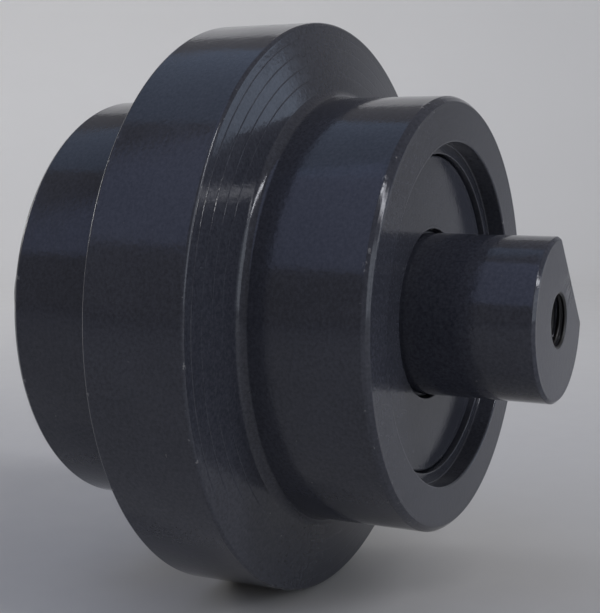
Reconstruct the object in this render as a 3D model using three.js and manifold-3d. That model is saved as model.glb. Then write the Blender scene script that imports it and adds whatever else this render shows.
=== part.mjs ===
// Centre-flange track roller of a small excavator, in millimetres, +Z up.
// The roller turns about Y, and the origin is on its axis at the middle of the flange.
// Left is +Y and right is -Y. The shaft stands still and the shell turns on it.

import * as THREE from 'three';
import { mergeVertices } from 'three/addons/utils/BufferGeometryUtils.js';
import Module from 'manifold-3d';

// ---------------------------------------------------------------- driving dimensions

// Roller shell, outside
const TREAD_RADIUS = 60;
const BODY_LENGTH = 106;
const TREAD_CHAMFER = 1.5;
const FLANGE_RADIUS = 81;
const FLANGE_RIM_WIDTH = 29;
const FLANGE_EDGE_BEVEL = 1;
const FLANGE_TAPER_DEGREES = 10;
const FLANGE_ROOT_FILLET = 3;

// Roller shell, stepped mouth at each end
const MOUTH_DEPTH = 5.2;
const MOUTH_LEDGE_WIDTH = 3.2;

// Oil chamber between the bushes
const OIL_CHAMBER_LENGTH = 11;
const OIL_CHAMBER_RELIEF = 2.4;

// Shaft
const SHAFT_RADIUS = 22.5;
const SHAFT_LENGTH = 165;
const SHAFT_END_CHAMFER = 0.8;
const SHOULDER_HEIGHT = 2.5;
const WAIST_DEPTH = 1.5;
const FLAT_FROM_AXIS = 14.6;
const FLAT_LENGTH = 24;
const FLAT_TURN_DEGREES = 50;
const BOLT_HOLE_RADIUS = 7;
const BOLT_HOLE_DEPTH = 32;
const BOLT_HOLE_COUNTERSINK = 0.4;
const OIL_DRILLING_RADIUS = 3;
const CROSS_DRILLING_RADIUS = 2.5;

// Bushes and thrust washers
const BUSH_WALL = 3.4;
const WASHER_THICKNESS = 2.9;
const WASHER_FACE_WIDTH = 5.3;

// Collars
const COLLAR_HUB_WALL = 6.7;
const COLLAR_RECESS = 1.6;
const COLLAR_DISC_THICKNESS = 7.7;
const COLLAR_RIM_WALL = 5.35;
const COLLAR_EDGE_BEVEL = 0.5;

// Floating face seals, measured away from the plane where the two rings meet
const SEAL_RING_HEIGHT = 5.8;
const SEAL_FLANGE_THICKNESS = 2.1;
const SEAL_FACE_WIDTH = 4.2;
const SEAL_TAIL_WIDTH = 1.4;
const SEAL_RAMP_RISE = 0.8;
const SEAL_POCKET_DEPTH = 6.5;
const POCKET_RAMP_RISE = 1;
const POCKET_CORNER = 1.2;
const TORIC_RADIUS = 1.8;

// Collar O-rings
const O_RING_RADIUS = 1.1;
const O_RING_GROOVE_WIDTH = 2.8;
const O_RING_GROOVE_DEPTH = 1.9;

// Wire lock rings
const LOCK_RING_WIDTH = 1.8;
const LOCK_RING_HEIGHT = 2;
const LOCK_RING_GAP_DEGREES = 24;
const LOCK_GROOVE_DEPTH = 1.3;
const COUNTERBORE_DEPTH = 3.65;

// Oil plug
const PLUG_RADIUS = 4.8;
const PLUG_LENGTH = 8;
const PLUG_SOCKET_RADIUS = 2.9;
const PLUG_SOCKET_DEPTH = 4;

// Clearances
const PRESS_GAP = 0.1;
const RUNNING_CLEARANCE = 0.15;
const END_FLOAT = 0.3;
const LABYRINTH_CLEARANCE = 0.3;
const RIM_FACE_GAP = 0.3;
const SEAL_CLEARANCE = 1.5;
const SEAL_FACE_GAP = 0.05;
const TORIC_GAP = 0.15;
const LOCK_RING_CLEARANCE = 0.15;

// Facets round a full turn
const LARGE_FACETS = 48;
const SEAL_FACETS = 36;
const HOLE_FACETS = 24;
const FILLET_STEPS = 3;
const ROUND_SECTION_SIDES = 6;

const LEFT = 1;
const RIGHT = -1;

// ---------------------------------------------------------------- radii, from the axis outward

const journalRadius = SHAFT_RADIUS + SHOULDER_HEIGHT;
const bushBore = journalRadius + RUNNING_CLEARANCE;
const bushRadius = bushBore + BUSH_WALL;
const hubBore = bushRadius + PRESS_GAP;
const washerRadius = bushBore + WASHER_FACE_WIDTH;
const collarBore = SHAFT_RADIUS + PRESS_GAP;
const collarHubRadius = collarBore + COLLAR_HUB_WALL;
const sealBore = Math.max(washerRadius, collarHubRadius) + SEAL_CLEARANCE;
const sealTailRadius = sealBore + SEAL_TAIL_WIDTH;
const sealFlangeRadius = sealBore + SEAL_FACE_WIDTH;
const toricCentreRadius = sealTailRadius + SEAL_RAMP_RISE / 2 + TORIC_GAP + TORIC_RADIUS;
const pocketRadius = toricCentreRadius + TORIC_RADIUS + TORIC_GAP;
const pocketMouthRadius = pocketRadius + POCKET_RAMP_RISE;
const collarRadius = pocketMouthRadius + COLLAR_RIM_WALL;
const labyrinthBore = collarRadius + LABYRINTH_CLEARANCE;
const mouthRadius = labyrinthBore + MOUTH_LEDGE_WIDTH;
const lockRingBore = SHAFT_RADIUS - LOCK_GROOVE_DEPTH + LOCK_RING_CLEARANCE;
const lockRingRadius = lockRingBore + LOCK_RING_HEIGHT;
const counterboreRadius = lockRingRadius + 2 * LOCK_RING_CLEARANCE;

// ---------------------------------------------------------------- places along the axis, from the end face inward

const endFace = BODY_LENGTH / 2;
const ledge = endFace - MOUTH_DEPTH;
const collarFace = ledge - COLLAR_RECESS;
const collarPocketBottom = collarFace - COLLAR_DISC_THICKNESS;
const sealPlane = collarPocketBottom - SEAL_POCKET_DEPTH;
const hubFace = sealPlane - SEAL_POCKET_DEPTH;
const washerInnerFace = hubFace + PRESS_GAP;
const washerOuterFace = washerInnerFace + WASHER_THICKNESS;
const collarHubEnd = washerOuterFace + END_FLOAT;
const shoulder = collarHubEnd - PRESS_GAP;
const chamberEnd = OIL_CHAMBER_LENGTH / 2;
const counterboreBottom = collarFace - COUNTERBORE_DEPTH;
const lockGrooveWidth = LOCK_RING_WIDTH + 2 * LOCK_RING_CLEARANCE;
const oRingPlace = (collarHubEnd + counterboreBottom) / 2;
const shaftEnd = SHAFT_LENGTH / 2;
const boltHoleBottom = shaftEnd - BOLT_HOLE_DEPTH;

// ---------------------------------------------------------------- materials

const paint = { color: 0x25282e, roughness: 0.32, metalness: 0.35 };
const groundSteel = { color: 0x9a9b9d, roughness: 0.3, metalness: 0.9 };
const bronze = { color: 0xa9824a, roughness: 0.4, metalness: 0.85 };
const rubber = { color: 0x16161a, roughness: 0.85, metalness: 0 };
const springSteel = { color: 0x3a3c40, roughness: 0.45, metalness: 0.8 };

// ---------------------------------------------------------------- helpers

// A solid turned about Y from a closed loop of [radius, y] points.
function turned(outline, facets) {
  const points = outline.map(([radius, y]) => new THREE.Vector2(radius, y));
  if (THREE.ShapeUtils.area(points) < 0) points.reverse();
  points.push(points[0].clone());
  return new THREE.LatheGeometry(points, facets);
}

// The same outline followed by its mirror image in the plane y = 0.
function mirrored(half) {
  const other = half.map(([radius, y]) => [radius, -y]).reverse();
  return [...half, ...other];
}

// An outline given for the left end, moved to the end that side names.
function atSide(outline, side) {
  return outline.map(([radius, y]) => [radius, side * y]);
}

// Points on an arc in the radius-y plane, both ends included. Angles are from the radius axis.
function arc(centreRadius, centreY, radius, fromAngle, toAngle, steps) {
  return Array.from({ length: steps + 1 }, (_, i) => {
    const angle = fromAngle + (toAngle - fromAngle) * i / steps;
    return [centreRadius + radius * Math.cos(angle), centreY + radius * Math.sin(angle)];
  });
}

// A round section as a closed loop, for a ring of the given centre radius and place.
function roundSection(centreRadius, y, radius) {
  const step = 2 * Math.PI / ROUND_SECTION_SIDES;
  return arc(centreRadius, y, radius, 0, 2 * Math.PI - step, ROUND_SECTION_SIDES - 1);
}

function toManifold(geometry) {
  const bare = geometry.clone();
  bare.deleteAttribute('normal');
  bare.deleteAttribute('uv');
  const merged = mergeVertices(bare, 1e-4);
  return new wasm.Manifold(new wasm.Mesh({
    numProp: 3,
    vertProperties: new Float32Array(merged.attributes.position.array),
    triVerts: withoutSlivers(merged.index.array),
  }));
}

// Triangle corners without the empty triangles that a lathe leaves on its axis.
function withoutSlivers(corners) {
  const kept = [];
  for (let i = 0; i < corners.length; i += 3) {
    const [a, b, c] = corners.slice(i, i + 3);
    if (a !== b && b !== c && c !== a) kept.push(a, b, c);
  }
  return new Uint32Array(kept);
}

function toGeometry(manifold) {
  const mesh = manifold.getMesh();
  const geometry = new THREE.BufferGeometry();
  geometry.setAttribute('position', new THREE.BufferAttribute(mesh.vertProperties, 3));
  geometry.setIndex(new THREE.BufferAttribute(mesh.triVerts, 1));
  geometry.computeVertexNormals();
  return geometry;
}

function node(name, geometry, look) {
  const mesh = new THREE.Mesh(geometry, new THREE.MeshStandardMaterial(look));
  mesh.name = name;
  return mesh;
}

function sideName(side, piece) {
  return `${side === LEFT ? 'left' : 'right'}_${piece}`;
}

// ---------------------------------------------------------------- roller shell

// One tapered side of the flange, from the rim down to the tread.
function flangeSide() {
  const taper = THREE.MathUtils.degToRad(FLANGE_TAPER_DEGREES);
  const rim = FLANGE_RIM_WIDTH / 2;
  const filletRadius = TREAD_RADIUS + FLANGE_ROOT_FILLET;
  const taperAtFillet = rim + (FLANGE_RADIUS - filletRadius) * Math.tan(taper);
  const filletY = taperAtFillet + FLANGE_ROOT_FILLET / Math.cos(taper);
  return [
    [FLANGE_RADIUS, rim - FLANGE_EDGE_BEVEL],
    [FLANGE_RADIUS - FLANGE_EDGE_BEVEL, rim + FLANGE_EDGE_BEVEL * Math.tan(taper)],
    ...arc(filletRadius, filletY, FLANGE_ROOT_FILLET, -Math.PI / 2 - taper, -Math.PI, FILLET_STEPS),
  ];
}

// The pocket that holds a seal ring and its toric ring, from its mouth to its bottom.
function sealPocket(mouthY, bottomY) {
  const inward = Math.sign(mouthY - bottomY);
  return [
    [pocketMouthRadius, mouthY],
    [pocketRadius, bottomY + inward * POCKET_CORNER],
    [pocketRadius - POCKET_CORNER, bottomY],
  ];
}

function rollerShell() {
  const half = [
    ...flangeSide(),
    [TREAD_RADIUS, endFace - TREAD_CHAMFER],
    [TREAD_RADIUS - TREAD_CHAMFER, endFace],
    [mouthRadius, endFace],
    [mouthRadius, ledge],
    [labyrinthBore, ledge],
    [labyrinthBore, sealPlane - RIM_FACE_GAP],
    ...sealPocket(sealPlane - RIM_FACE_GAP, hubFace),
    [hubBore, hubFace],
    [hubBore, chamberEnd],
    [hubBore + OIL_CHAMBER_RELIEF, chamberEnd],
  ];
  return node('roller_shell', turned(mirrored(half), LARGE_FACETS), paint);
}

// ---------------------------------------------------------------- shaft and oil plug

function shaftBlank() {
  const half = [
    [journalRadius - WAIST_DEPTH, chamberEnd - WAIST_DEPTH],
    [journalRadius, chamberEnd],
    [journalRadius, shoulder],
    [SHAFT_RADIUS, shoulder],
    [SHAFT_RADIUS, counterboreBottom],
    [SHAFT_RADIUS - LOCK_GROOVE_DEPTH, counterboreBottom],
    [SHAFT_RADIUS - LOCK_GROOVE_DEPTH, counterboreBottom + lockGrooveWidth],
    [SHAFT_RADIUS, counterboreBottom + lockGrooveWidth],
    [SHAFT_RADIUS, shaftEnd - SHAFT_END_CHAMFER],
    [SHAFT_RADIUS - SHAFT_END_CHAMFER, shaftEnd],
    [0, shaftEnd],
  ];
  return toManifold(turned(mirrored(half), LARGE_FACETS));
}

// A block that takes the flat off one end of the shaft.
function flatCutter(side) {
  const size = 4 * SHAFT_RADIUS;
  const block = new THREE.BoxGeometry(size, 2 * FLAT_LENGTH, size);
  block.translate(0, side * shaftEnd, FLAT_FROM_AXIS + size / 2);
  block.rotateY(THREE.MathUtils.degToRad(FLAT_TURN_DEGREES));
  return toManifold(block);
}

// The tapping drill of an end bolt, with its countersink, run a little past the end face.
function boltHoleCutter(side) {
  const past = BOLT_HOLE_COUNTERSINK;
  const outline = [
    [0, boltHoleBottom],
    [BOLT_HOLE_RADIUS, boltHoleBottom],
    [BOLT_HOLE_RADIUS, shaftEnd - BOLT_HOLE_COUNTERSINK],
    [BOLT_HOLE_RADIUS + BOLT_HOLE_COUNTERSINK + past, shaftEnd + past],
    [0, shaftEnd + past],
  ];
  return toManifold(turned(atSide(outline, side), HOLE_FACETS));
}

// The axial oil drilling from the left bolt hole to the middle, with the plug's seat at its mouth.
function oilDrillingCutter() {
  const outline = [
    [0, -OIL_DRILLING_RADIUS],
    [OIL_DRILLING_RADIUS, 0],
    [OIL_DRILLING_RADIUS, boltHoleBottom - PLUG_LENGTH],
    [PLUG_RADIUS + PRESS_GAP, boltHoleBottom - PLUG_LENGTH],
    [PLUG_RADIUS + PRESS_GAP, boltHoleBottom + 1],
    [0, boltHoleBottom + 1],
  ];
  return toManifold(turned(outline, HOLE_FACETS));
}

// The drilling across the waist that lets the oil out between the bushes.
function crossDrillingCutter() {
  const length = 2 * journalRadius;
  const drill = new THREE.CylinderGeometry(CROSS_DRILLING_RADIUS, CROSS_DRILLING_RADIUS, length, HOLE_FACETS / 2);
  drill.rotateX(Math.PI / 2);
  drill.translate(0, 0, length / 2);
  return toManifold(drill);
}

function shaft() {
  let body = shaftBlank();
  for (const side of [LEFT, RIGHT]) {
    body = body.subtract(flatCutter(side)).subtract(boltHoleCutter(side));
  }
  body = body.subtract(oilDrillingCutter()).subtract(crossDrillingCutter());
  return node('shaft', toGeometry(body), paint);
}

function oilPlug() {
  const bottom = boltHoleBottom - PLUG_LENGTH + PRESS_GAP;
  const top = boltHoleBottom - PRESS_GAP;
  const outline = [[0, bottom], [PLUG_RADIUS, bottom], [PLUG_RADIUS, top], [0, top]];
  const socket = new THREE.CylinderGeometry(PLUG_SOCKET_RADIUS, PLUG_SOCKET_RADIUS, 2 * PLUG_SOCKET_DEPTH, 6);
  socket.translate(0, top, 0);
  const body = toManifold(turned(outline, HOLE_FACETS)).subtract(toManifold(socket));
  return node('oil_plug', toGeometry(body), springSteel);
}

// ---------------------------------------------------------------- bushes and thrust washers

function bush(side) {
  const outline = [
    [bushBore, chamberEnd],
    [bushRadius, chamberEnd],
    [bushRadius, hubFace],
    [bushBore, hubFace],
  ];
  return node(sideName(side, 'bush'), turned(atSide(outline, side), SEAL_FACETS), bronze);
}

function thrustWasher(side) {
  const outline = [
    [bushBore, washerInnerFace],
    [washerRadius, washerInnerFace],
    [washerRadius, washerOuterFace],
    [bushBore, washerOuterFace],
  ];
  return node(sideName(side, 'thrust_washer'), turned(atSide(outline, side), SEAL_FACETS), bronze);
}

// ---------------------------------------------------------------- collars and what they hold

function collar(side) {
  const grooveHalf = O_RING_GROOVE_WIDTH / 2;
  const grooveRadius = collarBore + O_RING_GROOVE_DEPTH;
  const outline = [
    [collarBore, collarHubEnd],
    [collarHubRadius, collarHubEnd],
    [collarHubRadius, collarPocketBottom],
    ...sealPocket(sealPlane + RIM_FACE_GAP, collarPocketBottom).reverse(),
    [collarRadius, sealPlane + RIM_FACE_GAP],
    [collarRadius, collarFace - COLLAR_EDGE_BEVEL],
    [collarRadius - COLLAR_EDGE_BEVEL, collarFace],
    [counterboreRadius, collarFace],
    [counterboreRadius, counterboreBottom],
    [collarBore, counterboreBottom],
    [collarBore, oRingPlace + grooveHalf],
    [grooveRadius, oRingPlace + grooveHalf],
    [grooveRadius, oRingPlace - grooveHalf],
    [collarBore, oRingPlace - grooveHalf],
  ];
  return node(sideName(side, 'collar'), turned(atSide(outline, side), LARGE_FACETS), paint);
}

function collarORing(side) {
  const centre = SHAFT_RADIUS + (PRESS_GAP + O_RING_GROOVE_DEPTH) / 2;
  const section = roundSection(centre, oRingPlace, O_RING_RADIUS - PRESS_GAP - TORIC_GAP);
  return node(sideName(side, 'collar_o_ring'), turned(atSide(section, side), SEAL_FACETS), rubber);
}

// A wire ring with a gap, sprung into the shaft's groove against the bottom of the counterbore.
function lockRing(side) {
  const gap = THREE.MathUtils.degToRad(LOCK_RING_GAP_DEGREES);
  const outline = new THREE.Shape();
  outline.absarc(0, 0, lockRingRadius, gap / 2, 2 * Math.PI - gap / 2, false);
  outline.absarc(0, 0, lockRingBore, 2 * Math.PI - gap / 2, gap / 2, true);
  const ring = new THREE.ExtrudeGeometry(outline, {
    depth: LOCK_RING_WIDTH,
    bevelEnabled: false,
    curveSegments: SEAL_FACETS,
  });
  ring.rotateX(-Math.PI / 2);
  const nearFace = counterboreBottom + LOCK_RING_CLEARANCE;
  ring.translate(0, side === LEFT ? nearFace : -nearFace - LOCK_RING_WIDTH, 0);
  return node(sideName(side, 'lock_ring'), ring, springSteel);
}

// ---------------------------------------------------------------- floating face seals

// A place on the left end, given by its distance from the seal plane.
// The collar's half of a seal lies outward of that plane and the shell's half lies inward.
function fromSealPlane(outward, distance) {
  return outward ? sealPlane + distance : sealPlane - distance;
}

function sealRing(side, outward, piece) {
  const section = [
    [sealBore, SEAL_FACE_GAP],
    [sealFlangeRadius, SEAL_FACE_GAP],
    [sealFlangeRadius, SEAL_FLANGE_THICKNESS],
    [sealTailRadius + SEAL_RAMP_RISE, SEAL_FLANGE_THICKNESS],
    [sealTailRadius, SEAL_RING_HEIGHT],
    [sealBore, SEAL_RING_HEIGHT],
  ];
  const outline = section.map(([radius, distance]) => [radius, fromSealPlane(outward, distance)]);
  return node(sideName(side, piece), turned(atSide(outline, side), SEAL_FACETS), groundSteel);
}

function toricRing(side, outward, piece) {
  const distance = SEAL_FLANGE_THICKNESS + TORIC_GAP + TORIC_RADIUS;
  const section = roundSection(toricCentreRadius, fromSealPlane(outward, distance), TORIC_RADIUS);
  return node(sideName(side, piece), turned(atSide(section, side), SEAL_FACETS), rubber);
}

// ---------------------------------------------------------------- assembly

const wasm = await Module();
wasm.setup();

const turningParts = new THREE.Group();
turningParts.add(rollerShell());

const standingParts = new THREE.Group();
standingParts.add(shaft(), oilPlug());

for (const side of [LEFT, RIGHT]) {
  turningParts.add(
    bush(side),
    thrustWasher(side),
    sealRing(side, false, 'rotating_seal_ring'),
    toricRing(side, false, 'rotating_toric'),
  );
  standingParts.add(
    collar(side),
    collarORing(side),
    lockRing(side),
    sealRing(side, true, 'static_seal_ring'),
    toricRing(side, true, 'static_toric'),
  );
}

const trackRoller = new THREE.Group();
trackRoller.add(turningParts, standingParts);

export default trackRoller;
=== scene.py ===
"""Track roller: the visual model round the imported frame.

Outlines are in millimetres, as [radius, y, rounding], and become metres when a mesh is made.
The roller's axis is Y, left is +Y and right is -Y.
"""

import math

import bmesh
import bpy
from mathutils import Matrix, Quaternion, Vector


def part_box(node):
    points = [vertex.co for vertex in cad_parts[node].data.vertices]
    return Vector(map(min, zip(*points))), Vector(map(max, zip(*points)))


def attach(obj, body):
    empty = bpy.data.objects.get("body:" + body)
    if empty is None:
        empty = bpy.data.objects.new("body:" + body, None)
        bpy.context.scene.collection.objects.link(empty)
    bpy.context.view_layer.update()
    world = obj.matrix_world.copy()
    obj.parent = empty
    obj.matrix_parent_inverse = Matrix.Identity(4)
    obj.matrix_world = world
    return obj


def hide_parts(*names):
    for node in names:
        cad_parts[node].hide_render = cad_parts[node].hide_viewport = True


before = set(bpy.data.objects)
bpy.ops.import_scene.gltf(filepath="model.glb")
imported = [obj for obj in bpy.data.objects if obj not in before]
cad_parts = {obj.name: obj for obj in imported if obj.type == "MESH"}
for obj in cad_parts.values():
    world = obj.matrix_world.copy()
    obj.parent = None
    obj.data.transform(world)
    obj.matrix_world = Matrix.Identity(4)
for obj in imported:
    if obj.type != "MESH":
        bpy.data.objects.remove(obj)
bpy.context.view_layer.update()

MM = 0.001
LEFT, RIGHT = 1, -1
SIDES = {"left": LEFT, "right": RIGHT}

# ------------------------------------------------------------ sizes taken from the frame


def reach(node):
    """Outer radius, and the nearest and farthest y from the middle, of a round node, in millimetres."""
    low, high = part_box(node)
    places = sorted((abs(low.y), abs(high.y)))
    return high.z / MM, places[0] / MM, places[1] / MM


FLANGE_RADIUS, _, END_FACE = reach("roller_shell")
SHAFT_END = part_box("shaft")[1].y / MM
JOURNAL_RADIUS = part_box("shaft")[1].z / MM
COLLAR_RADIUS, COLLAR_HUB_END, COLLAR_FACE = reach("left_collar")
BUSH_RADIUS, CHAMBER_END, HUB_FACE = reach("left_bush")
WASHER_RADIUS, WASHER_NEAR, WASHER_FAR = reach("left_thrust_washer")
SEAL_RADIUS, ROTATING_TAIL, SEAL_PLANE = reach("left_rotating_seal_ring")
STATIC_TAIL = reach("left_static_seal_ring")[2]
TORIC_OUTER, ROTATING_TORIC_NEAR, ROTATING_TORIC_FAR = reach("left_rotating_toric")
STATIC_TORIC_NEAR, STATIC_TORIC_FAR = reach("left_static_toric")[1:]
O_RING_NEAR, O_RING_FAR = reach("left_collar_o_ring")[1:]
LOCK_RING_NEAR, LOCK_RING_FAR = reach("left_lock_ring")[1:]
PLUG_LOW, PLUG_HIGH = (corner.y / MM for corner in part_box("oil_plug"))
PLUG_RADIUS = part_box("oil_plug")[1].z / MM

# ------------------------------------------------------------ sizes of details, in millimetres

# TREAD_CHAMFER_BREAK is where the chamfer bends: in from the tread, and in from the end face.
TREAD_RADIUS = 60.0
TREAD_CHAMFER = 1.5
TREAD_CHAMFER_LEAD = 0.3
TREAD_CHAMFER_BREAK = (0.55, 0.9)

# The flange tapers from its rim down to the tread, with fine turned grooves near the rim.
FLANGE_RIM = 14.5
FLANGE_TAPER = math.radians(10)
FLANGE_ROOT_FILLET = 2.6
GROOVE_START = 3.0
GROOVE_PITCH = 3.8
GROOVE_WIDTH = 0.42
GROOVE_DEPTH = 0.03
GROOVE_COUNT = 4

# Inside the shell, from the mouth inward.
LABYRINTH_RADIUS = COLLAR_RADIUS + 0.3
MOUTH_RADIUS = LABYRINTH_RADIUS + 3.2
LEDGE = END_FACE - 5.2
POCKET_MOUTH = COLLAR_RADIUS - 5.35
COLLAR_POCKET_BOTTOM = COLLAR_FACE - 7.7
POCKET_RADIUS = POCKET_MOUTH - 1.0
RIM_FACE_GAP = 0.3
HUB_BORE = BUSH_RADIUS + 0.1
CHAMBER_RADIUS = HUB_BORE + 2.4

# The shaft. FLAT_TURN is the angle from straight up, towards +X, that its flats face.
SHAFT_RADIUS = 22.5
SHAFT_CHAMFER = 0.8
WAIST_DEPTH = 1.5
JOURNAL_END = COLLAR_HUB_END - 0.1
FLAT_FROM_AXIS = 14.6
FLAT_LENGTH = 24.0
FLAT_TURN = math.radians(50)
END_FACE_BORDER = 0.5
LOCK_GROOVE_RADIUS = 21.2
LOCK_GROOVE_WIDTH = 2.1

# The tapped hole: a broken edge at its mouth, a thread that fades in and out, and a drilled point.
HOLE_BREAK = 0.4
HOLE_BREAK_STEP = 0.1
HOLE_BREAK_LOOPS = 5
HOLE_BORDERS = (0.6, 0.15)
THREAD_MINOR = 7.0
THREAD_HEIGHT = 1.05
THREAD_PITCH = 2.0
THREAD_START = 0.6
THREAD_LENGTH = 26.0
THREAD_FADE_IN = 0.8
THREAD_FADE_OUT = 2.0
THREAD_FLANK = 1.35
THREAD_CREST = 0.2
THREAD_ROWS_PER_PITCH = 8
BOLT_HOLE_BOTTOM = SHAFT_END - 32.0
DRILL_TIP_RADIUS = 0.4
DRILL_TIP_DEPTH = {LEFT: 0, RIGHT: 2.5}

# The collars and what they carry.
COLLAR_BORE = SHAFT_RADIUS + 0.1
COLLAR_HUB_RADIUS = COLLAR_BORE + 6.7
COUNTERBORE_RADIUS = 23.65
COUNTERBORE_BOTTOM = COLLAR_FACE - 3.65
O_RING_GROOVE_WIDTH = 2.8
O_RING_GROOVE_DEPTH = 1.9
O_RING_CENTRE = COLLAR_BORE + 0.9
O_RING_HALF_HEIGHT = 0.92
O_RING_HALF_WIDTH = 1.1
BUSH_BORE = JOURNAL_RADIUS + 0.15
SEAL_BORE = SEAL_RADIUS - 4.2
SEAL_FLANGE = 2.1
SEAL_NECK = SEAL_BORE + 2.2
SEAL_TAIL = SEAL_BORE + 1.4
TORIC_RADIUS = 1.8
TORIC_STRETCH = 0.1

# The lock ring's wire is a squared round, a little smaller at the ring's two ends.
LOCK_RING_RADIUS = 23.35
LOCK_RING_BORE = 21.35
LOCK_RING_GAP = math.radians(24)
LOCK_RING_END_SIZES = (0.8, 0.95)
LOCK_RING_SQUARENESS = 0.45
LOCK_RING_CORNER = 1.17

# The oil plug and its hexagon socket, whose radii are at its corners.
PLUG_CORE = 0.5
PLUG_FACE = 3.4
SOCKET_MOUTH = 3.05
SOCKET_RADIUS = 2.9
SOCKET_BREAK = 0.15
SOCKET_DEPTH = 4
SOCKET_POINT = 5

SHELL_COLUMNS = 320
SHAFT_COLUMNS = 240
INNER_COLUMNS = 160
PLUG_COLUMNS = 96
WIRE_COLUMNS = 20
TORIC_COLUMNS = 24
LOCK_RING_STEPS = 120

# ------------------------------------------------------------ outlines


def rounded(corners, closed=True, steps=4, support=0.15):
    """A polyline through corners [a, b, rounding], each rounding an arc between support points."""
    points = []
    count = len(corners)
    for i, corner in enumerate(corners):
        here = Vector(corner[:2])
        radius = corner[2] if len(corner) > 2 else 0
        if radius == 0 or (not closed and i in (0, count - 1)):
            points.append(tuple(here))
            continue
        before = Vector(corners[i - 1][:2]) - here
        after = Vector(corners[(i + 1) % count][:2]) - here
        half = before.angle(after) / 2
        tangent = min(radius / math.tan(half), before.length * 0.45, after.length * 0.45)
        radius = tangent * math.tan(half)
        centre = here + (before.normalized() + after.normalized()).normalized() * radius / math.sin(half)
        start = here + before.normalized() * tangent
        end = here + after.normalized() * tangent
        turn = math.pi - 2 * half
        spoke = start - centre
        if (spoke.x * (end - centre).y - spoke.y * (end - centre).x) < 0:
            turn = -turn
        ahead = min(support, (before.length - tangent) * 0.3)
        behind = min(support, (after.length - tangent) * 0.3)
        points.append(tuple(start + before.normalized() * ahead))
        for step in range(steps + 1):
            angle = turn * step / steps
            cos, sin = math.cos(angle), math.sin(angle)
            turned = (spoke.x * cos - spoke.y * sin, spoke.x * sin + spoke.y * cos)
            points.append((centre.x + turned[0], centre.y + turned[1]))
        points.append(tuple(end + after.normalized() * behind))
    return points


def mirrored(half):
    """An outline for y > 0 followed by its mirror image in y = 0."""
    return half + [(corner[0], -corner[1], *corner[2:]) for corner in reversed(half)]


def at_side(outline, side):
    """An outline drawn for the left, put on the given side."""
    return [(corner[0], side * corner[1], *corner[2:]) for corner in outline]


def side_name(side, piece):
    return f"{'left' if side == LEFT else 'right'}_{piece}"


# ------------------------------------------------------------ meshes


def loft(name, loops, closed):
    """A smooth mesh skinned over loops in millimetres, closed into a ring or capped at its ends."""
    columns = len(loops[0])
    vertices = [tuple(c * MM for c in point) for loop in loops for point in loop]
    pairs = len(loops) if closed else len(loops) - 1
    faces = []
    for i in range(pairs):
        a = i * columns
        b = (i + 1) % len(loops) * columns
        for j in range(columns):
            k = (j + 1) % columns
            faces.append((a + j, a + k, b + k, b + j))
    if not closed:
        for a, order in ((0, -1), ((len(loops) - 1) * columns, 1)):
            centre = len(vertices)
            ring = vertices[a:a + columns]
            vertices.append(tuple(sum(v[c] for v in ring) / columns for c in range(3)))
            for j in range(columns):
                corner = (a + j, a + (j + 1) % columns)
                faces.append((*corner[::order], centre))
    mesh = bpy.data.meshes.new(name)
    mesh.from_pydata(vertices, [], faces)
    return finished(name, mesh)


def finished(name, mesh):
    """The object of a mesh, with doubled points merged, faces outward and smooth shading."""
    work = bmesh.new()
    work.from_mesh(mesh)
    bmesh.ops.remove_doubles(work, verts=work.verts, dist=1e-7)
    bmesh.ops.recalc_face_normals(work, faces=work.faces)
    if work.calc_volume(signed=True) < 0:
        bmesh.ops.reverse_faces(work, faces=work.faces)
    for face in work.faces:
        face.smooth = True
    work.to_mesh(mesh)
    work.free()
    piece = bpy.data.objects.new(name, mesh)
    bpy.context.scene.collection.objects.link(piece)
    return piece


def circle(radius, y, columns):
    """A loop of points round the roller's axis at y."""
    angles = (2 * math.pi * j / columns for j in range(columns))
    return [(radius * math.cos(angle), y, radius * math.sin(angle)) for angle in angles]


def hexagon(radius, y, columns):
    """A circle drawn in to a hexagon with corners at the radius."""
    loop = []
    for j in range(columns):
        angle = 2 * math.pi * j / columns
        within = (angle % (math.pi / 3)) - math.pi / 6
        r = radius * math.cos(math.pi / 6) / math.cos(within)
        loop.append((r * math.cos(angle), y, r * math.sin(angle)))
    return loop


def revolved(name, outline, columns=INNER_COLUMNS, closed=True):
    return loft(name, [circle(radius, y, columns) for radius, y in outline], closed)


# ------------------------------------------------------------ roller shell


def taper_point(radius, depth=0.0):
    """A point on the flange's tapered side, or that depth under it."""
    rise = (FLANGE_RADIUS - radius) * math.tan(FLANGE_TAPER)
    return (radius - depth * math.sin(FLANGE_TAPER), FLANGE_RIM + rise - depth * math.cos(FLANGE_TAPER))


def taper_grooves():
    """The fine turned grooves on the flange's tapered side, from the rim inward."""
    corners = []
    for i in range(GROOVE_COUNT):
        middle = FLANGE_RADIUS - GROOVE_START - i * GROOVE_PITCH
        corners += [
            (*taper_point(middle + GROOVE_WIDTH / 2), 0.04),
            (*taper_point(middle, GROOVE_DEPTH), 0.05),
            (*taper_point(middle - GROOVE_WIDTH / 2), 0.04),
        ]
    return corners


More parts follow.
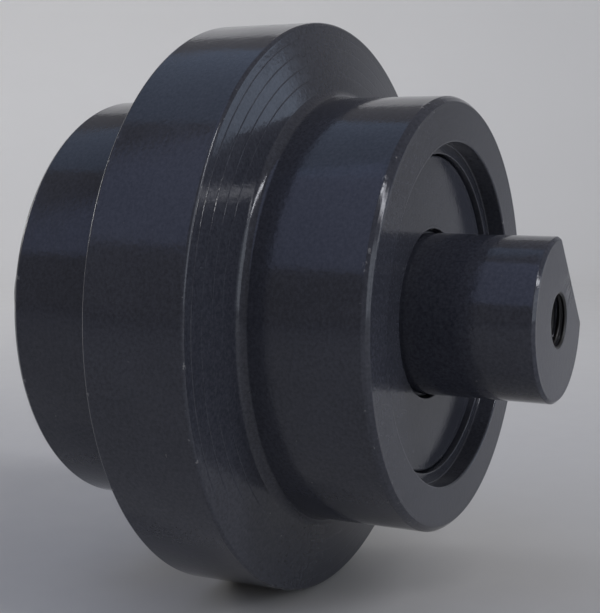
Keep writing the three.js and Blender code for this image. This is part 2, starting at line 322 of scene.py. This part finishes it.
def roller_shell():
    """The turned shell: flange, treads, stepped mouths, seal pockets, hub bore and oil chamber."""
    half = [
        (FLANGE_RADIUS, FLANGE_RIM, 0.9),
        *taper_grooves(),
        (*taper_point(TREAD_RADIUS), FLANGE_ROOT_FILLET),
        (TREAD_RADIUS, END_FACE - TREAD_CHAMFER - TREAD_CHAMFER_LEAD, 0.5),
        (TREAD_RADIUS - TREAD_CHAMFER_BREAK[0], END_FACE - TREAD_CHAMFER_BREAK[1], 0.5),
        (TREAD_RADIUS - TREAD_CHAMFER, END_FACE, 0.4),
        (MOUTH_RADIUS, END_FACE, 0.5),
        (MOUTH_RADIUS, LEDGE, 0.35),
        (LABYRINTH_RADIUS, LEDGE, 0.3),
        (LABYRINTH_RADIUS, SEAL_PLANE - RIM_FACE_GAP, 0.3),
        (POCKET_MOUTH, SEAL_PLANE - RIM_FACE_GAP, 0.4),
        (POCKET_RADIUS, HUB_FACE, 1.2),
        (HUB_BORE, HUB_FACE, 0.5),
        (HUB_BORE, CHAMBER_END, 0.4),
        (CHAMBER_RADIUS, CHAMBER_END, 0.6),
    ]
    return revolved("roller_shell_turned", rounded(mirrored(half)), SHELL_COLUMNS)


# ------------------------------------------------------------ shaft


def flatted(radius):
    """The shaft's section with its flat, as points (along the flat's normal, along its tangent)."""
    edge = math.acos(FLAT_FROM_AXIS / radius)
    across = SHAFT_COLUMNS // 6
    around = SHAFT_COLUMNS - across
    half_width = radius * math.sin(edge)
    points = [(FLAT_FROM_AXIS, half_width * (2 * (j + 0.5) / across - 1)) for j in range(across)]
    sweep = 2 * (math.pi - edge)
    points += [(radius * math.cos(edge + sweep * (j + 0.5) / around),
                radius * math.sin(edge + sweep * (j + 0.5) / around)) for j in range(around)]
    return points


def flat_section(radius, y):
    """The flatted section at y, turned so that the flat faces the right way."""
    normal = (math.sin(FLAT_TURN), math.cos(FLAT_TURN))
    return [(a * normal[0] + b * normal[1], y, a * normal[1] - b * normal[0])
            for a, b in flatted(radius)]


def round_section(radius, y, swell=None):
    """A circle whose points stand at the same angles as the flatted section's."""
    loop = []
    for x, _, z in flat_section(SHAFT_RADIUS, y):
        angle = math.atan2(z, x)
        r = radius + (swell(angle, y) if swell else 0)
        loop.append((r * math.cos(angle), y, r * math.sin(angle)))
    return loop


def thread_swell(angle, y):
    """How far the wall of a tapped hole lies outside its crest at a point on the helix."""
    depth = SHAFT_END - abs(y)
    phase = (depth / THREAD_PITCH + angle / (2 * math.pi)) % 1
    tooth = min(max(THREAD_FLANK * (1 - abs(2 * phase - 1)) - THREAD_CREST, 0), 1)
    fade_in = min(max((depth - THREAD_START) / THREAD_FADE_IN, 0), 1)
    fade_out = min(max((THREAD_LENGTH - depth) / THREAD_FADE_OUT, 0), 1)
    return THREAD_HEIGHT * tooth * fade_in * fade_out


def shaft_end_loops(side):
    """Loops from the middle of the shaft out over one end and down its tapped hole."""
    flat_start = SHAFT_END - FLAT_LENGTH
    barrel = rounded([
        (JOURNAL_RADIUS - WAIST_DEPTH, 0),
        (JOURNAL_RADIUS - WAIST_DEPTH, CHAMBER_END - WAIST_DEPTH, 0.5),
        (JOURNAL_RADIUS, CHAMBER_END, 0.3),
        (JOURNAL_RADIUS, JOURNAL_END, 0.4),
        (SHAFT_RADIUS, JOURNAL_END, 0.3),
        (SHAFT_RADIUS, COUNTERBORE_BOTTOM, 0.1),
        (LOCK_GROOVE_RADIUS, COUNTERBORE_BOTTOM, 0.3),
        (LOCK_GROOVE_RADIUS, COUNTERBORE_BOTTOM + LOCK_GROOVE_WIDTH, 0.3),
        (SHAFT_RADIUS, COUNTERBORE_BOTTOM + LOCK_GROOVE_WIDTH, 0.1),
        (SHAFT_RADIUS, flat_start),
    ], closed=False)
    loops = [round_section(radius, side * y) for radius, y in barrel]
    end = rounded([
        (SHAFT_RADIUS, flat_start),
        (SHAFT_RADIUS, SHAFT_END - SHAFT_CHAMFER, 0.3),
        (SHAFT_RADIUS - SHAFT_CHAMFER, SHAFT_END, 0.3),
        (FLAT_FROM_AXIS + END_FACE_BORDER, SHAFT_END),
    ], closed=False)
    loops += [flat_section(radius, side * y) for radius, y in end]
    mouth = THREAD_MINOR + HOLE_BREAK
    loops += [round_section(mouth + border, side * SHAFT_END) for border in HOLE_BORDERS]
    for k in range(HOLE_BREAK_LOOPS):
        y = SHAFT_END - HOLE_BREAK_STEP / 2 - HOLE_BREAK_STEP * k
        loops.append(round_section(mouth - HOLE_BREAK_STEP * k, side * y))
    rows = int(THREAD_LENGTH / THREAD_PITCH * THREAD_ROWS_PER_PITCH)
    for row in range(rows + 1):
        y = SHAFT_END - THREAD_START - (THREAD_LENGTH - THREAD_START) * row / rows
        loops.append(round_section(THREAD_MINOR, side * y, thread_swell))
    loops.append(round_section(THREAD_MINOR, side * BOLT_HOLE_BOTTOM))
    loops.append(round_section(DRILL_TIP_RADIUS, side * (BOLT_HOLE_BOTTOM - DRILL_TIP_DEPTH[side])))
    return loops


def shaft():
    loops = list(reversed(shaft_end_loops(RIGHT))) + shaft_end_loops(LEFT)[1:]
    return loft("shaft_ground", loops, closed=False)


# ------------------------------------------------------------ pieces held by the shaft


def collar(side):
    """A collar with its hub, half of the seal pocket, the lock ring's counterbore and an O-ring groove."""
    groove_near = (COLLAR_HUB_END + COUNTERBORE_BOTTOM) / 2 - O_RING_GROOVE_WIDTH / 2
    groove_far = groove_near + O_RING_GROOVE_WIDTH
    groove_radius = COLLAR_BORE + O_RING_GROOVE_DEPTH
    outline = [
        (COLLAR_BORE, COLLAR_HUB_END, 0.3),
        (COLLAR_HUB_RADIUS, COLLAR_HUB_END, 0.4),
        (COLLAR_HUB_RADIUS, COLLAR_POCKET_BOTTOM, 0.8),
        (POCKET_RADIUS, COLLAR_POCKET_BOTTOM, 1.2),
        (POCKET_MOUTH, SEAL_PLANE + RIM_FACE_GAP, 0.4),
        (COLLAR_RADIUS, SEAL_PLANE + RIM_FACE_GAP, 0.4),
        (COLLAR_RADIUS, COLLAR_FACE, 0.5),
        (COUNTERBORE_RADIUS, COLLAR_FACE, 0.3),
        (COUNTERBORE_RADIUS, COUNTERBORE_BOTTOM, 0.2),
        (COLLAR_BORE, COUNTERBORE_BOTTOM, 0.2),
        (COLLAR_BORE, groove_far, 0.15),
        (groove_radius, groove_far, 0.3),
        (groove_radius, groove_near, 0.3),
        (COLLAR_BORE, groove_near, 0.15),
    ]
    return revolved(side_name(side, "collar_turned"), rounded(at_side(outline, side)), SHAFT_COLUMNS)


def ring_section(centre_radius, middle, half_height, half_width, side, steps=WIRE_COLUMNS):
    """The oval section of a moulded ring."""
    turn = 2 * math.pi / steps
    angles = [turn * i for i in range(steps)]
    return [(centre_radius + half_height * math.cos(angle), side * (middle + half_width * math.sin(angle)))
            for angle in angles]


def collar_o_ring(side):
    middle = (O_RING_NEAR + O_RING_FAR) / 2
    outline = ring_section(O_RING_CENTRE, middle, O_RING_HALF_HEIGHT, O_RING_HALF_WIDTH, side)
    return revolved(side_name(side, "collar_o_ring_moulded"), outline)


def lock_ring(side):
    """A wire ring with a gap and slightly rounded ends."""
    middle = side * (LOCK_RING_NEAR + LOCK_RING_FAR) / 2
    centre = (LOCK_RING_RADIUS + LOCK_RING_BORE) / 2
    half_height = (LOCK_RING_RADIUS - LOCK_RING_BORE) / 2
    half_width = (LOCK_RING_FAR - LOCK_RING_NEAR) / 2
    loops = []
    for i in range(LOCK_RING_STEPS + 1):
        angle = LOCK_RING_GAP / 2 + (2 * math.pi - LOCK_RING_GAP) * i / LOCK_RING_STEPS
        from_end = min(i, LOCK_RING_STEPS - i)
        size = LOCK_RING_END_SIZES[from_end] if from_end < len(LOCK_RING_END_SIZES) else 1
        loop = []
        for j in range(WIRE_COLUMNS):
            around = 2 * math.pi * j / WIRE_COLUMNS
            squared = 1 / max(abs(math.cos(around)), abs(math.sin(around))) ** LOCK_RING_SQUARENESS
            squared = min(squared, LOCK_RING_CORNER)
            radius = centre + half_height * size * math.cos(around) * squared
            y = middle + half_width * size * math.sin(around) * squared
            loop.append((radius * math.cos(angle), y, -radius * math.sin(angle)))
        loops.append(loop)
    return loft(side_name(side, "lock_ring_wire"), loops, closed=False)


def oil_plug():
    """A threaded plug with a hexagon socket."""
    barrel = rounded([
        (PLUG_CORE, PLUG_LOW),
        (PLUG_RADIUS, PLUG_LOW, 0.5),
        (PLUG_RADIUS, PLUG_HIGH, 0.4),
        (PLUG_FACE, PLUG_HIGH),
    ], closed=False)
    loops = [circle(radius, y, PLUG_COLUMNS) for radius, y in barrel]
    loops += [
        hexagon(SOCKET_MOUTH, PLUG_HIGH, PLUG_COLUMNS),
        hexagon(SOCKET_RADIUS, PLUG_HIGH - SOCKET_BREAK, PLUG_COLUMNS),
        hexagon(SOCKET_RADIUS, PLUG_HIGH - SOCKET_DEPTH, PLUG_COLUMNS),
        circle(PLUG_CORE, PLUG_HIGH - SOCKET_POINT, PLUG_COLUMNS),
    ]
    return loft("oil_plug_threaded", loops, closed=False)


# ------------------------------------------------------------ bushes, washers and seals


def bush(side):
    outline = [
        (BUSH_BORE, CHAMBER_END, 0.5), (BUSH_RADIUS, CHAMBER_END, 0.8),
        (BUSH_RADIUS, HUB_FACE, 0.8), (BUSH_BORE, HUB_FACE, 0.5),
    ]
    return revolved(side_name(side, "bush_bronze"), rounded(at_side(outline, side)))


def thrust_washer(side):
    outline = [
        (BUSH_BORE, WASHER_NEAR, 0.4), (WASHER_RADIUS, WASHER_NEAR, 0.3),
        (WASHER_RADIUS, WASHER_FAR, 0.3), (BUSH_BORE, WASHER_FAR, 0.4),
    ]
    return revolved(side_name(side, "thrust_washer_bronze"), rounded(at_side(outline, side)))


def seal_ring(side, tail, direction, name):
    """One ring of a face seal. direction is 1 where its tail points away from the roller's middle."""
    face = SEAL_PLANE if direction < 0 else reach("left_static_seal_ring")[1]
    flange = face + direction * SEAL_FLANGE
    outline = [
        (SEAL_BORE, face, 0.4), (SEAL_RADIUS, face, 0.25), (SEAL_RADIUS, flange, 0.4),
        (SEAL_NECK, flange, 0.5), (SEAL_TAIL, tail, 0.35), (SEAL_BORE, tail, 0.35),
    ]
    return revolved(side_name(side, name), rounded(at_side(outline, side)))


def toric(side, near, far, name):
    """A rubber ring, pressed a little taller than it is wide."""
    middle = (near + far) / 2
    centre = TORIC_OUTER - TORIC_RADIUS
    half_height = TORIC_RADIUS + TORIC_STRETCH
    outline = ring_section(centre, middle, half_height, TORIC_RADIUS, side, steps=TORIC_COLUMNS)
    return revolved(side_name(side, name), outline)


# ------------------------------------------------------------ node graphs


class Look:
    """A material being built: a principled shader and the nodes that feed it."""

    def __init__(self, name):
        self.material = bpy.data.materials.new(name)
        self.material.use_nodes = True
        self.tree = self.material.node_tree
        self.shader = self.tree.nodes["Principled BSDF"]
        self.place = self.add("ShaderNodeTexCoord").outputs["Object"]

    def add(self, kind, **settings):
        node = self.tree.nodes.new(kind)
        for key, value in settings.items():
            setattr(node, key, value)
        return node

    def feed(self, node, **inputs):
        for key, value in inputs.items():
            socket = node.inputs[int(key[1:])] if key[0] == "_" else node.inputs[key.replace("_", " ")]
            if isinstance(value, bpy.types.NodeSocket):
                self.tree.links.new(value, socket)
            else:
                socket.default_value = value
        return node

    def set(self, **inputs):
        self.feed(self.shader, **inputs)

    def maths(self, operation, a, b=0.0, clamp=False):
        node = self.add("ShaderNodeMath", operation=operation, use_clamp=clamp)
        return self.feed(node, _0=a, _1=b).outputs[0]

    def noise(self, scale, detail=2.0, roughness=0.5, place=None, distortion=0.0):
        node = self.add("ShaderNodeTexNoise")
        self.feed(node, Vector=place or self.place, Scale=scale, Detail=detail,
                  Roughness=roughness, Distortion=distortion)
        return node.outputs["Fac"]

    def ramp(self, value, *stops):
        node = self.add("ShaderNodeValToRGB")
        elements = node.color_ramp.elements
        while len(elements) < len(stops):
            elements.new(0.5)
        for element, (position, colour) in zip(elements, stops):
            element.position = position
            element.color = (*colour, 1) if isinstance(colour, tuple) else (colour, colour, colour, 1)
        return self.feed(node, Fac=value).outputs["Color"]

    def fade(self, value, low, high, to_low=0.0, to_high=1.0):
        node = self.add("ShaderNodeMapRange", interpolation_type="SMOOTHSTEP")
        self.feed(node, Value=value, From_Min=low, From_Max=high, To_Min=to_low, To_Max=to_high)
        return node.outputs["Result"]

    def mix(self, factor, a, b):
        node = self.add("ShaderNodeMix", data_type="RGBA")
        colour = [(*c, 1) if isinstance(c, tuple) else c for c in (a, b)]
        return self.feed(node, _0=factor, _6=colour[0], _7=colour[1]).outputs[2]

    def axis_distances(self):
        """The distance from the roller's axis, and the distance along it from the middle."""
        split = self.feed(self.add("ShaderNodeSeparateXYZ"), Vector=self.place)
        x, y, z = split.outputs
        square = self.maths("ADD", self.maths("MULTIPLY", x, x), self.maths("MULTIPLY", z, z))
        return self.maths("SQRT", square), self.maths("ABSOLUTE", y)

    def bump(self, *layers):
        """Bump from (height, strength, distance) layers, each on top of the one before."""
        normal = None
        for height, strength, distance in layers:
            node = self.add("ShaderNodeBump")
            self.feed(node, Height=height, Strength=strength, Distance=distance)
            if normal:
                self.feed(node, Normal=normal)
            normal = node.outputs["Normal"]
        self.set(Normal=normal)


# ------------------------------------------------------------ materials

PAINT_DARK = (0.029, 0.031, 0.041)
PAINT_LIGHT = (0.056, 0.059, 0.074)
BARE_STEEL = (0.16, 0.16, 0.165)
DUST_SPECK = (0.07, 0.07, 0.075)
# Near black, for the wall of the tapped hole: painted shade deep in the hole, over oiled bare thread.
OILED_THREAD_PAINTED_SHADE = (0.016, 0.015, 0.015)
EDGE_WEAR_WIDTH = 0.6 * MM
THREAD_SHADE_WIDTH = 0.6 * MM


def near(look, value, place, width):
    """1 within width of a place, falling to 0 at twice that."""
    distance = look.maths("ABSOLUTE", look.maths("SUBTRACT", value, place))
    return look.fade(distance, width, 2 * width, 1.0, 0.0)


def gloss_paint(name, edges, tint=1.0, threaded=False):
    """Gloss blue-black paint over turned steel, worn thin near edges given as [radius, y] in mm."""
    look = Look(name)
    radius, along = look.axis_distances()
    patches = look.noise(24, detail=3, roughness=0.6)
    mottle = look.noise(1100, detail=3, roughness=0.7)
    depth = look.maths("ADD", look.maths("MULTIPLY", patches, 0.3), look.maths("MULTIPLY", mottle, 0.7))
    shades = [tuple(tint * channel for channel in shade) for shade in (PAINT_DARK, PAINT_LIGHT)]
    colour = look.ramp(depth, (0.37, shades[0]), (0.64, shades[1]))
    edge = None
    for r, y in edges:
        on_radius = near(look, radius, r * MM, EDGE_WEAR_WIDTH)
        here = look.maths("MULTIPLY", on_radius, near(look, along, y * MM, EDGE_WEAR_WIDTH))
        edge = here if edge is None else look.maths("MAXIMUM", edge, here)
    chips = look.fade(look.noise(420, detail=3, roughness=0.6), 0.66, 0.69)
    worn = look.maths("MULTIPLY", chips, edge)
    specks = look.fade(look.noise(560, detail=1), 0.80, 0.83)
    colour = look.mix(specks, colour, DUST_SPECK)
    colour = look.mix(worn, colour, BARE_STEEL)
    gloss = look.fade(look.noise(140, detail=3), 0.3, 0.7, 0.09, 0.15)
    rough = look.maths("ADD", gloss, look.maths("MULTIPLY", specks, 0.3))
    if threaded:
        # Painted shade: inside its mouth, the tapped hole's wall is coloured near black to stand for the
        # shade deep in the hole. It is also made rougher, as oiled thread.
        mouth = (THREAD_MINOR + HOLE_BREAK) * MM
        hole = look.fade(radius, mouth, mouth + THREAD_SHADE_WIDTH, 1.0, 0.0)
        colour = look.mix(hole, colour, OILED_THREAD_PAINTED_SHADE)
        rough = look.maths("ADD", rough, look.maths("MULTIPLY", hole, 0.3))
    look.set(Base_Color=colour, Roughness=rough, IOR=1.5)
    peel = look.noise(700, detail=1.5)
    grain = look.noise(3200, detail=2)
    section = look.feed(look.add("ShaderNodeCombineXYZ"), X=radius, Y=along)
    turning = look.noise(4200, detail=1, place=section.outputs[0])
    turning = look.maths("MULTIPLY", turning, look.maths("ADD", look.maths("MULTIPLY", edge, 0.9), 0.1))
    look.bump((turning, 0.5, 0.00006), (peel, 0.12, 0.00025), (grain, 0.10, 0.00008), (worn, 0.3, 0.00005))
    return look.material


def bare_metal(name, dark, light, roughness, mark_scale):
    """Machined metal with fine marks round its axis."""
    look = Look(name)
    radius, along = look.axis_distances()
    both = look.feed(look.add("ShaderNodeCombineXYZ"), X=radius, Y=along)
    marks = look.noise(mark_scale, detail=4, roughness=0.7, place=both.outputs[0])
    patches = look.noise(60, detail=3)
    colour = look.mix(look.fade(patches, 0.3, 0.7), dark, light)
    rough = look.fade(marks, 0.2, 0.8, roughness * 0.75, roughness * 1.3)
    look.set(Base_Color=colour, Roughness=rough, Metallic=1.0)
    look.bump((marks, 0.25, 0.00006), (patches, 0.1, 0.0001))
    return look.material


def moulded_rubber(name):
    look = Look(name)
    patches = look.noise(90, detail=3)
    colour = look.ramp(patches, (0.3, (0.010, 0.010, 0.011)), (0.75, (0.022, 0.022, 0.023)))
    rough = look.fade(look.noise(500, detail=3), 0.3, 0.7, 0.45, 0.62)
    look.set(Base_Color=colour, Roughness=rough)
    look.bump((look.noise(2500, detail=2), 0.2, 0.00006))
    return look.material


SHELL_EDGES = [
    (FLANGE_RADIUS, FLANGE_RIM),
    (TREAD_RADIUS, END_FACE - TREAD_CHAMFER),
    (TREAD_RADIUS - TREAD_CHAMFER, END_FACE),
    (MOUTH_RADIUS, END_FACE),
]
SHAFT_EDGES = [(SHAFT_RADIUS, SHAFT_END - SHAFT_CHAMFER), (SHAFT_RADIUS - SHAFT_CHAMFER, SHAFT_END)]
COLLAR_EDGES = [(COLLAR_RADIUS, COLLAR_FACE), (COUNTERBORE_RADIUS, COLLAR_FACE)]

looks = {
    "roller_paint": gloss_paint("shell_paint", SHELL_EDGES),
    "shaft_paint": gloss_paint("shaft_paint", SHAFT_EDGES, tint=1.2, threaded=True),
    "collar_paint": gloss_paint("collar_paint", COLLAR_EDGES),
    "seal_steel": bare_metal("lapped_iron", (0.34, 0.34, 0.35), (0.48, 0.48, 0.49), 0.22, 1800),
    "bush_bronze": bare_metal("bearing_bronze", (0.42, 0.27, 0.11), (0.56, 0.39, 0.18), 0.34, 1500),
    "ring_steel": bare_metal("black_spring_steel", (0.05, 0.05, 0.055), (0.10, 0.10, 0.11), 0.38, 2200),
    "seal_rubber": moulded_rubber("nitrile_rubber"),
}

# ------------------------------------------------------------ assembly


def fit(piece, node, body, slot):
    """Puts a piece in place of a CAD node, on its body and with its slot's look."""
    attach(piece, body)
    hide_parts(node)
    piece.data.materials.append(looks[slot])


fit(roller_shell(), "roller_shell", "roller", "roller_paint")
fit(shaft(), "shaft", "shaft_assembly", "shaft_paint")
fit(oil_plug(), "oil_plug", "shaft_assembly", "ring_steel")
for word, side in SIDES.items():
    fit(collar(side), f"{word}_collar", "shaft_assembly", "collar_paint")
    fit(collar_o_ring(side), f"{word}_collar_o_ring", "shaft_assembly", "seal_rubber")
    fit(lock_ring(side), f"{word}_lock_ring", "shaft_assembly", "ring_steel")
    fit(bush(side), f"{word}_bush", "roller", "bush_bronze")
    fit(thrust_washer(side), f"{word}_thrust_washer", "roller", "bush_bronze")
    fit(seal_ring(side, ROTATING_TAIL, -1, "rotating_seal_ring_lapped"),
        f"{word}_rotating_seal_ring", "roller", "seal_steel")
    fit(seal_ring(side, STATIC_TAIL, 1, "static_seal_ring_lapped"),
        f"{word}_static_seal_ring", "shaft_assembly", "seal_steel")
    fit(toric(side, ROTATING_TORIC_NEAR, ROTATING_TORIC_FAR, "rotating_toric_moulded"),
        f"{word}_rotating_toric", "roller", "seal_rubber")
    fit(toric(side, STATIC_TORIC_NEAR, STATIC_TORIC_FAR, "static_toric_moulded"),
        f"{word}_static_toric", "shaft_assembly", "seal_rubber")

# ------------------------------------------------------------ stage, light and camera


def towards(azimuth, elevation):
    """A unit vector. Azimuth is from +Y towards +X, in degrees."""
    a, e = math.radians(azimuth), math.radians(elevation)
    return Vector((math.sin(a) * math.cos(e), math.cos(a) * math.cos(e), math.sin(e)))


def soft_light(name, place, size, radiance, colour=(1, 1, 1), roll=0, aim=None):
    """A rectangular soft light that faces the roller, or its aim.

    place is [azimuth, elevation, distance] and radiance is its brightness seen from the front.
    """
    azimuth, elevation, distance = place
    width, height = size
    data = bpy.data.lights.new(name, "AREA")
    data.shape = "RECTANGLE"
    data.size = width
    data.size_y = height
    data.energy = radiance * math.pi * width * height
    data.color = colour
    lamp = bpy.data.objects.new(name, data)
    lamp.location = towards(azimuth, elevation) * distance
    back = lamp.location - (aim or Vector())
    rolled = Quaternion((0, 0, 1), math.radians(roll))
    lamp.rotation_euler = (back.to_track_quat("Z", "Y") @ rolled).to_euler()
    bpy.context.scene.collection.objects.link(lamp)


BACKDROP_AZIMUTH = 63
BACKDROP_DISTANCE = 0.9
BACKDROP_BEND = 0.3
BACKDROP_TOP = 0.85
BEND_STEPS = 24
FLOOR_FRONT = -0.5
FLOOR_REACH = 12.0
FLOOR_GAP = 0.0002
FLOOR_TONES = ((0.67, 0.66, 0.64), (0.70, 0.69, 0.67))
WORLD_COLOUR = (0.205, 0.20, 0.205, 1)

CAMERA_AZIMUTH = 243.35
CAMERA_ELEVATION = 6.3
CAMERA_DISTANCE = 0.3962
CAMERA_RIGHT = 0.0045
CAMERA_DOWN = 0.0003
CAMERA_LENS = 79.0
CAMERA_SENSOR = 36
CAMERA_NEAR = 0.01


def stage_floor():
    """A pale floor that sweeps up into a low backdrop behind the roller."""
    level = -FLANGE_RADIUS * MM - FLOOR_GAP
    away, across = towards(BACKDROP_AZIMUTH, 0), towards(BACKDROP_AZIMUTH + 90, 0)
    angles = (math.radians(90 / BEND_STEPS * i) for i in range(BEND_STEPS + 1))
    bend = [(BACKDROP_DISTANCE + BACKDROP_BEND * math.sin(a), level + BACKDROP_BEND * (1 - math.cos(a)))
            for a in angles]
    front = [(-FLOOR_REACH, level), (FLOOR_FRONT, level)]
    profile = [*front, *bend, (BACKDROP_DISTANCE + BACKDROP_BEND, BACKDROP_TOP)]
    vertices = [away * d + across * end + Vector((0, 0, z))
                for d, z in profile for end in (-FLOOR_REACH, FLOOR_REACH)]
    faces = [(2 * i, 2 * i + 2, 2 * i + 3, 2 * i + 1) for i in range(len(profile) - 1)]
    mesh = bpy.data.meshes.new("floor")
    mesh.from_pydata(vertices, [], faces)
    for face in mesh.polygons:
        face.use_smooth = True
    floor = bpy.data.objects.new("floor", mesh)
    bpy.context.scene.collection.objects.link(floor)
    look = Look("pale_floor")
    patches = look.fade(look.noise(3, detail=3), 0.2, 0.8)
    rough = look.fade(look.noise(90, detail=3), 0.3, 0.7, 0.55, 0.65)
    look.set(Base_Color=look.mix(patches, *FLOOR_TONES), Roughness=rough)
    floor.data.materials.append(look.material)


def surroundings():
    """An even, dim light from everywhere."""
    world = bpy.data.worlds.new("studio")
    world.use_nodes = True
    background = world.node_tree.nodes["Background"]
    background.inputs["Color"].default_value = WORLD_COLOUR
    background.inputs["Strength"].default_value = 1.0
    bpy.context.scene.world = world


def camera():
    """The camera, set back from the roller's centre and slid a little to its right."""
    back = towards(CAMERA_AZIMUTH, CAMERA_ELEVATION)
    right = Vector((0, 0, 1)).cross(back).normalized()
    up = back.cross(right)
    data = bpy.data.cameras.new("camera")
    data.sensor_width = CAMERA_SENSOR
    data.lens = CAMERA_LENS
    data.clip_start = CAMERA_NEAR
    eye = bpy.data.objects.new("camera", data)
    eye.location = back * CAMERA_DISTANCE + right * CAMERA_RIGHT - up * CAMERA_DOWN
    eye.rotation_euler = back.to_track_quat("Z", "Y").to_euler()
    bpy.context.scene.collection.objects.link(eye)
    bpy.context.scene.camera = eye


stage_floor()
surroundings()
soft_light("key_strip", (190, 42, 1.6), (0.13, 1.15), 13.0, colour=(0.92, 0.93, 1.0), roll=34)
soft_light("low_side", (190, 12, 1.6), (1.1, 0.7), 1.35, colour=(0.80, 0.88, 1.0))
soft_light("overhead", (297, 52, 1.6), (1.1, 1.75), 0.48, colour=(0.42, 0.54, 1.0))
soft_light("front", (136, 6, 1.6), (0.7, 0.6), 0.9, colour=(0.6, 0.75, 1.0))
soft_light("back_high", (20, 60, 1.6), (1.1, 0.7), 0.3, colour=(0.3, 0.55, 1.0))
soft_light("rim", (5, 17, 1.6), (0.5, 0.4), 6.0)
soft_light("window", (136.6, 5.4, 1.5), (0.14, 0.034), 10.0)
soft_light("glint", (153, 8.5, 1.5), (0.10, 0.11), 16.0)
soft_light("backdrop_wash", (20, 62, 1.0), (0.8, 0.8), 2.3, aim=Vector((1.0, 0.6, 0.75)))
camera()
bpy.context.scene.view_settings.view_transform = "Standard"
